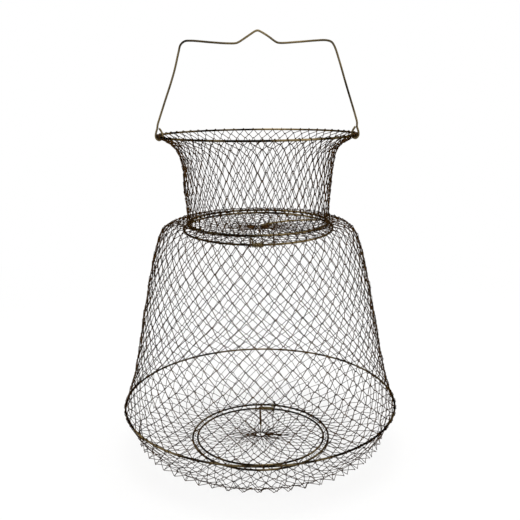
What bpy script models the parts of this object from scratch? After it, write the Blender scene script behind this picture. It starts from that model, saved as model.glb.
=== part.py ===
"""Collapsible wire fish basket: hoops, a net of interlocked zigzag wires, two sprung doors and a wire bail.

Metres, +Z up. The origin is on the ground under the middle of the basket. The front, where the lid
is hinged, is at -Y. The basket stands open, with both doors shut and the bail upright.
"""

import math

import bmesh
import bpy
from mathutils import Matrix, Quaternion, Vector

MM = 0.001

# Wires and the clearances between them
HOOP_WIRE = 2.4 * MM
BAIL_WIRE = 2.3 * MM
NET_WIRE = 1.0 * MM
DOOR_NET_WIRE = 0.9 * MM
BASE_NET_WIRE = 1.0 * MM
LINK_WIRE = 1.6 * MM
SPRING_WIRE = 1.2 * MM
SEAT_GAP = 0.3 * MM
HOOK_GAP = 0.92 * MM

# Hoops: radius of the wire's middle line and its height over the ground
MOUTH_RADIUS = 112.1 * MM
MOUTH_HEIGHT = 380.4 * MM
NECK_RADIUS = 81.8 * MM
NECK_HEIGHT = 279.7 * MM
BELLY_RADIUS = 165.0 * MM
BELLY_HEIGHT = 57.4 * MM
BOTTOM_RADIUS = 85.2 * MM
BOTTOM_HEIGHT = 6.2 * MM

# Lid under the neck hoop, and trap door inside the bottom hoop
LID_RADIUS = 86.8 * MM
LID_HANG = 6.65 * MM
LID_TILT = math.radians(1.55)
LID_HINGE_TURN = math.radians(2.8)
TRAP_RADIUS = 79.1 * MM
TRAP_HANG = 0.0 * MM
TRAP_TILT = math.radians(2.0)
TRAP_HINGE_TURN = math.radians(175.4)
HINGE_SPAN = 25.0 * MM
GATHER_RADIUS = 6.5 * MM
GATHER_WIRE = 1.4 * MM
COIL_TURNS = 6
COIL_PITCH = 1.75 * MM
COIL_GAP = 0.5 * MM
CRIMP_LENGTH = 7.0 * MM
CRIMP_WALL = 0.6 * MM
CRIMP_FROM_MIDDLE = 30.0 * MM
LID_ARM_BEND = 12.0 * MM
LID_ARM_MIDDLE = 2.0 * MM
LID_ARM_SPREAD = 44.0 * MM
LID_ARM_RISE = 25.0 * MM
LID_ARM_END = 70.0 * MM

# Net: bends of its outline between the hoops, as radius and height
SHOULDER_RADIUS = 112.0 * MM
SHOULDER_DROP = 8.5 * MM
SHOULDER_RISE = 0.8 * MM
FLANK_RADIUS = 137.8 * MM
FLANK_HEIGHT = 170.0 * MM
HIP_RADIUS = 153.0 * MM
HIP_HEIGHT = 93.0 * MM
THROAT_RADIUS = 84.0 * MM
THROAT_HEIGHT = 325.0 * MM
FLARE_RADIUS = 91.0 * MM
FLARE_HEIGHT = 364.0 * MM
BILGE_RADIUS = 152.5 * MM
BILGE_HEIGHT = 22.0 * MM
TUCK_RADIUS = 139.4 * MM
TUCK_HEIGHT = 12.0 * MM
FOLD_RADIUS = 118.0 * MM
FOLD_HEIGHT = 3.2 * MM
FOOT_RADIUS = 107.0 * MM
STEP_RADIUS = 97.0 * MM
STEP_HEIGHT = 2.4 * MM

# Net: number of zigzags round the basket, rows of them, and how neighbours hook together
ZIGZAGS = 22
NECK_ROWS = 5
BODY_ROWS = 10
SKIRT_ROWS = 4
HOOK_OVERLAP = 2.6 * MM
HOOK_HALF_WIDTH = 0.6 * MM
HOOP_HOOK_HALF_WIDTH = 1.0 * MM
DOOR_ZIGZAGS = 16
DOOR_NET_RINGS = 5

# Bail
BAIL_HEIGHT = 480.5 * MM
BAIL_SHOULDER = 84.0 * MM
BAIL_CORNER_RADIUS = 8.0 * MM
BAIL_PEAK_HALF_WIDTH = 21.0 * MM
BAIL_PEAK_RISE = 12.5 * MM
BAIL_PEAK_RADIUS = 4.0 * MM
EYE_HALF_LENGTH = 6.4 * MM
EYE_HALF_WIDTH = 3.1 * MM
EYE_OPENING = math.radians(48.0)
BAIL_NECK = 6.0 * MM

# Fineness of the round shapes
HOOP_SEGMENTS = 52
HOOP_SIDES = 6
WIRE_SIDES_OF_NET = 3
TURN_POINTS = 9
BEND_POINTS = 6
EYE_POINTS = 16
GATHER_SEGMENTS = 16
CRIMP_SIDES = 10
PROFILE_STEPS = 12
SEAM_WELD = 0.01 * MM
CUT_DEPTH = 30.0 * MM
MARK_SIZE = 10.0 * MM

# Sizes that follow from the ones above
HOOP_WIRE_RADIUS = HOOP_WIRE / 2
NET_WIRE_RADIUS = NET_WIRE / 2
HOOP_SAG = BELLY_RADIUS * (1 - math.cos(math.pi / HOOP_SEGMENTS))
HOOP_HOOK_REACH = HOOP_WIRE_RADIUS + NET_WIRE_RADIUS + HOOP_SAG + SEAT_GAP
NET_HOOK_REACH = NET_WIRE + HOOK_GAP
PITCH_ANGLE = 2 * math.pi / ZIGZAGS
FRONT = -math.pi / 2

CRIMP_BORE = SPRING_WIRE / 2 + SEAT_GAP
CRIMP_RADIUS = CRIMP_BORE + CRIMP_WALL
ARM_LIFT = CRIMP_RADIUS + DOOR_NET_WIRE / 2 + SEAT_GAP


def clear_scene():
    """Take every object out of the scene."""
    for obj in list(bpy.data.objects):
        bpy.data.objects.remove(obj, do_unlink=True)


def new_collection(name):
    """A collection of the scene."""
    collection = bpy.data.collections.new(name)
    bpy.context.scene.collection.children.link(collection)
    return collection


def metal(name, colour, roughness):
    """A plain metal finish."""
    material = bpy.data.materials.new(name)
    material.use_nodes = True
    shader = material.node_tree.nodes["Principled BSDF"]
    shader.inputs["Base Color"].default_value = (*colour, 1.0)
    shader.inputs["Roughness"].default_value = roughness
    shader.inputs["Metallic"].default_value = 1.0
    return material


def place(obj, finish, collection=None):
    """Put an object in a collection, and give it its finish."""
    for owner in list(obj.users_collection):
        owner.objects.unlink(obj)
    (collection or BASKET).objects.link(obj)
    if finish:
        obj.data.materials.clear()
        obj.data.materials.append(finish)
    return obj


def carry(obj, joint):
    """Hang an object on the empty that stands on its joint, without moving it."""
    obj.parent = joint
    obj.matrix_parent_inverse = joint.matrix_world.inverted()
    return obj


def joint_point(name, position, turn=0.0, base=None):
    """An empty on the axis of a joint, carried by the empty of the joint that it moves with."""
    empty = bpy.data.objects.new(name, None)
    empty.location = position
    empty.rotation_euler = (0.0, 0.0, turn)
    empty.empty_display_size = MARK_SIZE
    BASKET.objects.link(empty)
    if base:
        carry(empty, base)
    bpy.context.view_layer.update()
    return empty


def wire(name, points, diameter, finish, closed=False, resolution=2):
    """A bent wire along the points."""
    curve = bpy.data.curves.new(name, "CURVE")
    curve.dimensions = "3D"
    spline = curve.splines.new("POLY")
    spline.points.add(len(points) - 1)
    for knot, point in zip(spline.points, points):
        knot.co = (*point, 1.0)
    spline.use_cyclic_u = closed
    curve.bevel_depth = diameter / 2
    curve.bevel_resolution = resolution
    curve.use_fill_caps = True
    return place(bpy.data.objects.new(name, curve), finish)


def hoop(name, radius, height, diameter, finish, tilt=0.0, turn=0.0, segments=HOOP_SEGMENTS):
    """A round hoop of wire, whose hinge side may hang lower than the other."""
    bpy.ops.mesh.primitive_torus_add(
        major_radius=radius,
        minor_radius=diameter / 2,
        major_segments=segments,
        minor_segments=HOOP_SIDES,
        location=(0.0, 0.0, height),
        rotation=(tilt, 0.0, turn),
    )
    ring = bpy.context.object
    ring.name = name
    ring.data.name = name
    ring.data.shade_smooth()
    return place(ring, finish)


def polar(radius, angle, height):
    """The point at this radius, angle and height."""
    return Vector((radius * math.cos(angle), radius * math.sin(angle), height))


def between(a, b, c, d, share):
    """The point at this share of the way from b to c, on the centripetal curve through all four."""
    marks = [0.0]
    for first, second in ((a, b), (b, c), (c, d)):
        marks.append(marks[-1] + math.sqrt((second - first).length))
    here = marks[1] + (marks[2] - marks[1]) * share

    def mix(first, second, start, end):
        return first.lerp(second, (here - marks[start]) / (marks[end] - marks[start]))

    ab, bc, cd = mix(a, b, 0, 1), mix(b, c, 1, 2), mix(c, d, 2, 3)
    return mix(mix(ab, bc, 0, 2), mix(bc, cd, 1, 3), 1, 2)


class Outline:
    """The net's outline in radius and height, as a smooth curve that is measured along its length."""

    def __init__(self, bends):
        bends = [Vector(bend) for bend in bends]
        before = bends[0] * 2 - bends[1]
        after = bends[-1] * 2 - bends[-2]
        knots = [before, *bends, after]
        self.points = [bends[0]]
        for index in range(1, len(knots) - 2):
            a, b, c, d = knots[index - 1 : index + 3]
            for step in range(1, PROFILE_STEPS + 1):
                self.points.append(between(a, b, c, d, step / PROFILE_STEPS))
        self.marks = [0.0]
        for first, second in zip(self.points, self.points[1:]):
            self.marks.append(self.marks[-1] + (second - first).length)
        self.length = self.marks[-1]

    def at(self, distance):
        """The point at this distance from the top, the way down there, and the way out of the basket."""
        index = 1
        while index < len(self.marks) - 1 and self.marks[index] < distance:
            index += 1
        first, second = self.points[index - 1], self.points[index]
        down = (second - first).normalized()
        point = first + down * (distance - self.marks[index - 1])
        return point, down, Vector((-down.y, down.x))


def net_wire(name, points):
    """A closed three-sided wire that fits in the round of the net's wire.

    The section is carried from strand to strand without turning round the wire. The little that is
    left over when the wire closes is shared out between all the strands.
    """
    count = len(points)
    ways = [(after - point).normalized() for point, after in zip(points, points[1:] + points[:1])]
    start = ways[-1].orthogonal().normalized()
    side = start
    sides = []
    for before, after in zip(ways[-1:] + ways, ways):
        sides.append(side)
        side = before.rotation_difference(after) @ side
    left_over = math.atan2(ways[-1].dot(start.cross(side)), start.dot(side))
    shape = bmesh.new()
    rings = []
    for index, (point, side) in enumerate(zip(points, sides)):
        before = ways[index - 1]
        middle = (before + ways[index]).normalized()
        ring = []
        for corner in range(WIRE_SIDES_OF_NET):
            turn = 2 * math.pi * corner / WIRE_SIDES_OF_NET - left_over * index / count
            offset = Quaternion(before, turn) @ side
            offset -= before * (offset.dot(middle) / before.dot(middle))
            ring.append(shape.verts.new(point + offset.normalized() * NET_WIRE_RADIUS))
        rings.append(ring)
    for near, far in zip(rings, rings[1:] + rings[:1]):
        for corner in range(WIRE_SIDES_OF_NET):
            beside = (corner + 1) % WIRE_SIDES_OF_NET
            shape.faces.new((near[corner], near[beside], far[beside], far[corner]))
    mesh = bpy.data.meshes.new(name)
    shape.to_mesh(mesh)
    shape.free()
    return place(bpy.data.objects.new(name, mesh), STEEL)


def zigzag_row(name, outline, index, rows, phase, grips_foot=False):
    """One closed zigzag wire of a net, hooked round its neighbours or, at an end, round the hoop.

    Seen from outside, the wire comes up to each peak on the inside and leaves it on the outside, so
    that it wraps the valley of the row above. The phase is the angle of the first peak.
    """
    step = outline.length / rows
    centre, down, out = outline.at(index * step)
    if index == 0:
        reach, half_width = HOOP_HOOK_REACH, HOOP_HOOK_HALF_WIDTH
        peak = centre - down * HOOP_HOOK_REACH
    else:
        reach, half_width = NET_HOOK_REACH, HOOK_HALF_WIDTH
        peak = centre - down * HOOK_OVERLAP / 2
    centre, down_low, out_low = outline.at((index + 1) * step)
    if index < rows - 1:
        low_reach, low_half_width = 0.0, 0.0
        valley = centre + down_low * HOOK_OVERLAP / 2
    elif grips_foot:
        low_reach, low_half_width = NET_HOOK_REACH, HOOK_HALF_WIDTH
        valley = centre + down_low * HOOK_OVERLAP
    else:
        low_reach, low_half_width = HOOP_HOOK_REACH, HOOP_HOOK_HALF_WIDTH
        valley = centre + down_low * HOOP_HOOK_REACH
    points = []
    for turn in range(ZIGZAGS):
        angle = phase + turn * PITCH_ANGLE
        for side in (-1, 1):
            point = peak + out * (reach * side)
            points.append(polar(point.x, angle + side * half_width / point.x, point.y))
        angle += PITCH_ANGLE / 2
        for side in (-1, 1) if low_reach else (0,):
            point = valley - out_low * (low_reach * side)
            points.append(polar(point.x, angle + side * low_half_width / point.x, point.y))
    return net_wire(name, points)


def zigzag_net(name, outline, rows, phase, joint, grips_foot=False):
    """A round net of zigzag rows, each half a zigzag on from the last."""
    for index in range(rows):
        row_phase = phase + index * PITCH_ANGLE / 2
        row = zigzag_row(f"{name}_row_{index + 1:02d}", outline, index, rows, row_phase, grips_foot)
        carry(row, joint)


def tip_length(tip, neighbour, count, thickness):
    """How far the point of a net's outermost mesh stands past its knot."""
    half_turn = math.pi / count
    across = neighbour * math.sin(half_turn)
    along = abs(tip - neighbour * math.cos(half_turn))
    return thickness / 2 / math.sin(math.atan2(across, along))


def diamond_net(name, rings, count, phase, thickness, finish):
    """A net of diamonds between rings of knots, each ring half a diamond on from the last."""
    shape = bmesh.new()
    knots = []
    for index, (radius, height) in enumerate(rings):
        start = phase + (index % 2) * math.pi / count
        angles = [start + turn * 2 * math.pi / count for turn in range(count)]
        knots.append([shape.verts.new(polar(radius, angle, height)) for angle in angles])
    for index in range(len(rings) - 2):
        near, middle, far = knots[index : index + 3]
        shift = index % 2
        for turn in range(count):
            right = middle[(turn + shift) % count]
            left = middle[(turn + shift - 1) % count]
            shape.faces.new((near[turn], left, far[turn], right))
    bmesh.ops.recalc_face_normals(shape, faces=shape.faces)
    mesh = bpy.data.meshes.new(name)
    shape.to_mesh(mesh)
    shape.free()
    net = place(bpy.data.objects.new(name, mesh), finish)
    strands = net.modifiers.new("strands", "WIREFRAME")
    strands.thickness = thickness
    strands.offset = 0.0
    strands.use_boundary = True
    strands.use_replace = True
    strands.use_even_offset = True
    return net


def link(name, x, upper, lower, turn):
    """A closed wire link round two strands, whose middles are given in depth and height."""
    radius = HOOP_WIRE_RADIUS + LINK_WIRE / 2 + SEAT_GAP
    along = (lower - upper).normalized()
    across = Vector((-along.y, along.x))
    points = []
    for strand, facing in ((upper, -1), (lower, 1)):
        for step in range(BEND_POINTS + 1):
            angle = math.pi * step / BEND_POINTS
            offset = (across * math.cos(angle) + along * math.sin(angle)) * facing
            spot = strand + offset * radius
            points.append(Vector((x, spot.x, spot.y)))
    turned = Matrix.Rotation(turn, 4, "Z")
    return wire(name, [turned @ point for point in points], LINK_WIRE, BRONZE, closed=True, resolution=1)


def strand_at(x, radius, height, tilt):
    """Depth and height of a hoop's wire on its hinge side, at this distance from the hinge's middle."""
    depth = -math.sqrt(radius**2 - x**2)
    return Vector((depth * math.cos(tilt), height + depth * math.sin(tilt)))


class Door:
    """A round net door that a pair of wire links hinges under, or inside, a fixed hoop.

    It is laid out with its hinge at -Y and then turned round the basket's axis to its place.
    """

    def __init__(self, name, radius, height, tilt, turn, frame_radius, frame_height, base=None):
        self.name = name
        self.radius = radius
        self.height = height
        self.tilt = tilt
        self.turn = turn
        self.frame_radius = frame_radius
        self.frame_height = frame_height
        self.base = base
        self.hinge = strand_at(HINGE_SPAN / 2, radius, height, tilt)
        pin = Matrix.Rotation(turn, 4, "Z") @ Vector((0.0, self.hinge.x, self.hinge.y))
        self.joint = joint_point(f"{name}_hinge", pin, turn, base)

    def plane(self, depth):
        """Height of the door's middle plane at this depth."""
        return self.height + depth * math.tan(self.tilt)

    def settle(self, obj):
        """Turn a piece that lies flat at the origin into the door's plane."""
        turned = Matrix.Rotation(self.turn, 4, "Z") @ Matrix.Rotation(self.tilt, 4, "X")
        obj.matrix_world = Matrix.Translation((0.0, 0.0, self.height)) @ turned
        bpy.context.view_layer.update()
        return carry(obj, self.joint)

    def leaf(self):
        """The door's hoop, its net and the small ring that gathers the net in the middle."""
        rim = hoop(f"{self.name}_hoop", self.radius, 0.0, HOOP_WIRE, BRONZE)
        self.settle(rim)
        ring_name = f"{self.name}_gather_ring"
        gather = hoop(ring_name, GATHER_RADIUS, 0.0, GATHER_WIRE, STEEL, segments=GATHER_SEGMENTS)
        self.settle(gather)
        outer = self.radius - HOOP_WIRE_RADIUS - SEAT_GAP
        inner = GATHER_RADIUS + GATHER_WIRE / 2 + SEAT_GAP
        last = DOOR_NET_RINGS - 1
        shrink = (inner / outer) ** (1 / last)
        outer -= tip_length(outer, outer * shrink, DOOR_ZIGZAGS, DOOR_NET_WIRE)
        inner += tip_length(inner, inner / shrink, DOOR_ZIGZAGS, DOOR_NET_WIRE)
        rings = [(outer * (inner / outer) ** (index / last), 0.0) for index in range(DOOR_NET_RINGS)]
        net_phase = FRONT + math.pi / DOOR_ZIGZAGS
        net = diamond_net(f"{self.name}_net", rings, DOOR_ZIGZAGS, net_phase, DOOR_NET_WIRE, STEEL)
        self.settle(net)

    def links(self):
        """The two links that hold the door's hoop to the fixed one."""
        for side, label in ((-1, "left"), (1, "right")):
            x = side * HINGE_SPAN / 2
            upper = strand_at(x, self.frame_radius, self.frame_height, 0.0)
            loop = link(f"{self.name}_hinge_link_{label}", x, upper, self.hinge, self.turn)
            if self.base:
                carry(loop, self.base)

    def spring(self, tail):
        """The door's wire spring: a hook on the fixed hoop, a coil round the door's hoop and a long arm."""
        name = f"{self.name}_spring"
        start_x = (LINK_WIRE + SPRING_WIRE) / 2 + SEAT_GAP * 2 - HINGE_SPAN / 2
        frame_strand = strand_at(start_x, self.frame_radius, self.frame_height, 0.0)
        door_strand = strand_at(start_x, self.radius, self.height, self.tilt)
        along = (door_strand - frame_strand).normalized()
        across = Vector((-along.y, along.x))
        hook_radius = HOOP_WIRE_RADIUS + SPRING_WIRE / 2 + SEAT_GAP
        points = []
        for step in range(BEND_POINTS + 1):
            angle = math.pi * (1 - step / BEND_POINTS)
            spot = frame_strand + (across * math.cos(angle) - along * math.sin(angle)) * hook_radius
            points.append(Vector((start_x, spot.x, spot.y)))
        curls = self.curls(start_x, along, across)
        gaps = [
            (one - other).length - SPRING_WIRE
            for index, one in enumerate(curls)
            for other in curls[index + TURN_POINTS // 2 :]
        ]
        print(f"{name}: least gap between its curls {min(gaps) / MM:.2f} mm")
        points += curls
        arm = [Vector((x, y, self.plane(y) + ARM_LIFT + lift)) for x, y, lift in tail]
        self.crimp(points[-1], arm[0])
        points += arm
        turned = Matrix.Rotation(self.turn, 4, "Z")
        finished = [turned @ point for point in points]
        carry(wire(name, finished, SPRING_WIRE, BRASS, resolution=1), self.joint)

    def curls(self, start_x, along, across):
        """The coil's points, which follow the door's hoop and stop where the wire heads for the middle."""
        coil_radius = HOOP_WIRE_RADIUS + SPRING_WIRE / 2 + COIL_GAP
        inward = Vector((math.cos(self.tilt), math.sin(self.tilt)))
        leave = math.atan2(-across.dot(inward), along.dot(inward)) % (2 * math.pi)
        total = COIL_TURNS * 2 * math.pi + leave
        count = round(total / (2 * math.pi) * TURN_POINTS)
        points = []
        for step in range(count + 1):
            angle = total * step / count
            x = start_x + COIL_PITCH * angle / (2 * math.pi)
            strand = strand_at(x, self.radius, self.height, self.tilt)
            spot = strand + (across * math.cos(angle) + along * math.sin(angle)) * coil_radius
            points.append(Vector((x, spot.x, spot.y)))
        return points

    def crimp(self, start, end):
        """The sleeve that is pressed round the spring's arm."""
        half = CRIMP_LENGTH / 2
        profile = [(CRIMP_BORE, half), (CRIMP_RADIUS, half), (CRIMP_RADIUS, -half), (CRIMP_BORE, -half)]
        shape = bmesh.new()
        corners = [shape.verts.new((radius, 0.0, height)) for radius, height in profile]
        for index, corner in enumerate(corners):
            shape.edges.new((corner, corners[(index + 1) % len(corners)]))
        mesh = bpy.data.meshes.new(f"{self.name}_crimp")
        shape.to_mesh(mesh)
        shape.free()
        sleeve = place(bpy.data.objects.new(mesh.name, mesh), STEEL)
        turn = sleeve.modifiers.new("round", "SCREW")
        turn.steps = turn.render_steps = CRIMP_SIDES
        turn.use_merge_vertices = True
        turn.merge_threshold = SEAM_WELD
        middle = start.lerp(end, (-CRIMP_FROM_MIDDLE - start.y) / (end.y - start.y))
        lying = (end - start).to_track_quat("Z", "Y").to_matrix().to_4x4()
        sleeve.matrix_world = Matrix.Rotation(self.turn, 4, "Z") @ Matrix.Translation(middle) @ lying
        bpy.context.view_layer.update()
        carry(sleeve, self.joint)


def rounded(corners, steps):
    """A path through corners, each given as a point and the radius of its bend."""
    path = [corners[0][0]]
    for (before, _), (corner, radius), (after, _) in zip(corners, corners[1:], corners[2:]):
        back = (before - corner).normalized()
        ahead = (after - corner).normalized()
        half = back.angle(ahead) / 2
        centre = corner + (back + ahead).normalized() * (radius / math.sin(half))
        first = corner + back * (radius / math.tan(half)) - centre
        last = corner + ahead * (radius / math.tan(half)) - centre
        for step in range(steps + 1):
            path.append(centre + first.slerp(last, step / steps).normalized() * radius)
    path.append(corners[-1][0])
    return path


def bail(joint):
    """The handle, one wire with a peak in its top and an open eye round the mouth hoop at each end."""
    top = BAIL_HEIGHT
    eye_top = MOUTH_HEIGHT + EYE_HALF_LENGTH
    foot = Vector((MOUTH_RADIUS, 0.0, eye_top))
    half = [
        (foot, 0.0),
        (Vector((MOUTH_RADIUS, 0.0, eye_top + BAIL_NECK)), BAIL_CORNER_RADIUS),
        (Vector((BAIL_SHOULDER, 0.0, top)), BAIL_CORNER_RADIUS),
        (Vector((BAIL_PEAK_HALF_WIDTH, 0.0, top)), BAIL_PEAK_RADIUS),
    ]
    peak = (Vector((0.0, 0.0, top + BAIL_PEAK_RISE)), BAIL_PEAK_RADIUS)
    mirrored = [(Vector((-point.x, 0.0, point.z)), radius) for point, radius in reversed(half)]
    handle = rounded(half + [peak] + mirrored, BEND_POINTS // 2)
    eye = []
    for step in range(EYE_POINTS):
        angle = EYE_OPENING + (2 * math.pi - EYE_OPENING) * step / EYE_POINTS
        x = MOUTH_RADIUS + EYE_HALF_WIDTH * math.sin(angle)
        eye.append(Vector((x, 0.0, MOUTH_HEIGHT + EYE_HALF_LENGTH * math.cos(angle))))
    other_eye = [Vector((-point.x, 0.0, point.z)) for point in reversed(eye)]
    carry(wire("bail", eye + handle + other_eye, BAIL_WIRE, BRONZE, resolution=2), joint)


def base_net(phase):
    """The flat net round the bottom hoop, which carries the basket on a ring of ground-flat knots."""
    seat = BOTTOM_RADIUS + HOOP_WIRE_RADIUS + SEAT_GAP
    seat += tip_length(seat, STEP_RADIUS, ZIGZAGS, BASE_NET_WIRE)
    rings = [
        (seat, BOTTOM_HEIGHT),
        (STEP_RADIUS, STEP_HEIGHT),
        (FOOT_RADIUS, 0.0),
        (FOLD_RADIUS, FOLD_HEIGHT),
    ]
    net = diamond_net("base_net", rings, ZIGZAGS, phase, BASE_NET_WIRE, STEEL)
    bpy.ops.mesh.primitive_cube_add(size=1.0, location=(0.0, 0.0, -CUT_DEPTH / 2))
    ground = place(bpy.context.object, None, GUIDES)
    ground.name = "ground_cutter"
    ground.scale = (3 * FOLD_RADIUS, 3 * FOLD_RADIUS, CUT_DEPTH)
    ground.hide_render = True
    ground.display_type = "WIRE"
    flat = net.modifiers.new("stand_flat", "BOOLEAN")
    flat.operation = "DIFFERENCE"
    flat.object = ground


clear_scene()
BASKET = new_collection("wire_fish_basket")
GUIDES = new_collection("guides")
BRONZE = metal("bronze_plated_wire", (0.20, 0.165, 0.125), 0.34)
BRASS = metal("brass_plated_spring_wire", (0.42, 0.34, 0.17), 0.30)
STEEL = metal("dark_steel_wire", (0.115, 0.105, 0.095), 0.42)

# The fixed foot of the basket, and the hoops that slide down towards it when it is folded flat
hoop("bottom_hoop", BOTTOM_RADIUS, BOTTOM_HEIGHT, HOOP_WIRE, BRONZE)
belly_slide = joint_point("belly_slide", (0.0, 0.0, BELLY_HEIGHT))
neck_slide = joint_point("neck_slide", (0.0, 0.0, NECK_HEIGHT), base=belly_slide)
mouth_slide = joint_point("mouth_slide", (0.0, 0.0, MOUTH_HEIGHT), base=neck_slide)
bail_hinge = joint_point("bail_hinge", (0.0, 0.0, MOUTH_HEIGHT), base=mouth_slide)
carry(hoop("belly_hoop", BELLY_RADIUS, BELLY_HEIGHT, HOOP_WIRE, BRONZE), belly_slide)
carry(hoop("neck_hoop", NECK_RADIUS, NECK_HEIGHT, HOOP_WIRE, BRONZE), neck_slide)
carry(hoop("mouth_hoop", MOUTH_RADIUS, MOUTH_HEIGHT, HOOP_WIRE, BRONZE), mouth_slide)
bail(bail_hinge)

# The doors
lid_height = NECK_HEIGHT - LID_HANG
lid = Door(
    "lid", LID_RADIUS, lid_height, LID_TILT, LID_HINGE_TURN, NECK_RADIUS, NECK_HEIGHT, neck_slide
)
lid.leaf()
lid.links()
lid.spring(
    [
        (0.0, -LID_ARM_BEND, 0.0),
        (LID_ARM_MIDDLE, 0.0, 0.0),
        (LID_ARM_SPREAD / 3, LID_ARM_RISE / 2, 0.0),
        (LID_ARM_SPREAD, LID_ARM_RISE, 0.0),
        (LID_ARM_END, LID_ARM_RISE, 0.0),
    ]
)
trap_height = BOTTOM_HEIGHT - TRAP_HANG
trap = Door(
    "trap_door", TRAP_RADIUS, trap_height, TRAP_TILT, TRAP_HINGE_TURN, BOTTOM_RADIUS, BOTTOM_HEIGHT
)
trap.leaf()
trap.links()
trap.spring(
    [
        (0.0, -GATHER_RADIUS, 0.0),
        (0.0, -GATHER_RADIUS / 2, 0.0),
        (0.0, -GATHER_RADIUS / 3, -2 * ARM_LIFT),
    ]
)

# The net, hooked round the hoops between the hinges' links
lid_azimuth = FRONT + LID_HINGE_TURN
trap_azimuth = FRONT + TRAP_HINGE_TURN
neck_outline = Outline(
    [
        (MOUTH_RADIUS, MOUTH_HEIGHT),
        (FLARE_RADIUS, FLARE_HEIGHT),
        (THROAT_RADIUS, THROAT_HEIGHT),
        (NECK_RADIUS, NECK_HEIGHT),
    ]
)
body_outline = Outline(
    [
        (NECK_RADIUS, NECK_HEIGHT),
        ((NECK_RADIUS + SHOULDER_RADIUS) / 2, NECK_HEIGHT + SHOULDER_RISE),
        (SHOULDER_RADIUS, NECK_HEIGHT - SHOULDER_DROP),
        (FLANK_RADIUS, FLANK_HEIGHT),
        (HIP_RADIUS, HIP_HEIGHT),
        (BELLY_RADIUS, BELLY_HEIGHT),
    ]
)
skirt_outline = Outline(
    [
        (BELLY_RADIUS, BELLY_HEIGHT),
        (BILGE_RADIUS, BILGE_HEIGHT),
        (TUCK_RADIUS, TUCK_HEIGHT),
        (FOLD_RADIUS, FOLD_HEIGHT),
    ]
)
neck_phase = lid_azimuth + PITCH_ANGLE / 4 - NECK_ROWS * PITCH_ANGLE / 2
body_phase = lid_azimuth - PITCH_ANGLE / 4
skirt_phase = trap_azimuth + PITCH_ANGLE / 2 - SKIRT_ROWS * PITCH_ANGLE / 2
zigzag_net("neck_net", neck_outline, NECK_ROWS, neck_phase, mouth_slide)
zigzag_net("body_net", body_outline, BODY_ROWS, body_phase, neck_slide)
zigzag_net("skirt_net", skirt_outline, SKIRT_ROWS, skirt_phase, belly_slide, grips_foot=True)
base_net(trap_azimuth)
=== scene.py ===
# %% [markdown]
# # Collapsible wire fish basket
# The real basket is plated steel wire and nothing else: four thick hoops, one long net of fine zigzag
# wire that hooks the hoops together, two sprung net doors and a wire bail. The imported CAD model is the
# fixed frame, in metres. Every piece made below sits on it, and all but the two springs ride on one of
# its bodies, so they move along when the basket folds flat, opens its doors or swings its bail.

import math

import bpy
import numpy as np
from mathutils import Matrix, Vector


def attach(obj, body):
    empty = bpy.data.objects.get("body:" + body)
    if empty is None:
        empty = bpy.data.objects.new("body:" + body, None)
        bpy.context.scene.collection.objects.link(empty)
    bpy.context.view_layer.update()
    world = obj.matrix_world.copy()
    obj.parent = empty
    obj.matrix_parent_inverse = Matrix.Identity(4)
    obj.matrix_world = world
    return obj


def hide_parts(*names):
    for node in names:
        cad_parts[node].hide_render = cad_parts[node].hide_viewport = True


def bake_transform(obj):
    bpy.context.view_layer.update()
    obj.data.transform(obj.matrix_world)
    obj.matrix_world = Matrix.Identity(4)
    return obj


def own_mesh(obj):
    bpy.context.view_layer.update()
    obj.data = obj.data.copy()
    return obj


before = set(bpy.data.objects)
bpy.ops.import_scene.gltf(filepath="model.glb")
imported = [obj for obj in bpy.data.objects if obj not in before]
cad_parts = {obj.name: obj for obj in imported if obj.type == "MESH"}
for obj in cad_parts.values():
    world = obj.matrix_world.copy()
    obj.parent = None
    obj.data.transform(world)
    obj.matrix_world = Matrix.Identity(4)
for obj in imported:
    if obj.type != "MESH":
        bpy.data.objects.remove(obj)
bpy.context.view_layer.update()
MM = 0.001

# %% [markdown]
# ## The camera
# One camera was fitted to the hoops, the bail and the edge of the net in the photograph. It stands
# about 0.8 m in front of the basket, a little over the mouth, and looks slightly down, so the hoops
# show as ellipses that get rounder towards the ground. It also leans by half a degree.

# %% Set up the camera
CAMERA_PLACE = Vector((1.7, -793.9, 425.8)) * MM
CAMERA_PITCH = math.radians(13.63)
CAMERA_LEAN = math.radians(-0.62)
FOCAL_PIXELS = 687.3
PHOTO_PIXELS = 520
SENSOR_WIDTH = 36.0

camera = bpy.data.objects.new("camera", bpy.data.cameras.new("camera"))
bpy.context.scene.collection.objects.link(camera)
camera.data.sensor_width = SENSOR_WIDTH
camera.data.lens = FOCAL_PIXELS / PHOTO_PIXELS * SENSOR_WIDTH
looking = Matrix.Rotation(math.pi / 2 - CAMERA_PITCH, 4, "X") @ Matrix.Rotation(CAMERA_LEAN, 4, "Z")
camera.matrix_world = Matrix.Translation(CAMERA_PLACE) @ looking
bpy.context.scene.camera = camera
print(f"lens {camera.data.lens:.1f} mm, {CAMERA_PLACE.length:.2f} m from the origin")

# %% [markdown]
# ## Plated wire
# All the wire is drawn steel with a thin plating that has gone dull. Seen close, drawn wire has a fine
# lengthwise grain, cloudy patches where the plating is thicker, and dark spots where it has rubbed
# through. One recipe makes all five finishes: a slow noise clouds the colour, a quick noise scatters
# the spots, and a fine noise gives the surface its tooth. The noises read object coordinates, which
# are metres here, so their scales are patches per metre and suit wire of any length.

# %% A recipe for plated wire
SPOTS_PER_METRE, TOOTH_PER_METRE = 900.0, 2600.0
RUBBED_SPOT, UNRUBBED = (0.42, 0.40, 0.38, 1.0), (1.0, 1.0, 1.0, 1.0)
SPOT_EDGES = 0.30, 0.44
SPOT_DULLING = 0.16
TOOTH_DEPTH, TOOTH_STRENGTH = 0.05 * MM, 0.25


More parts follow.
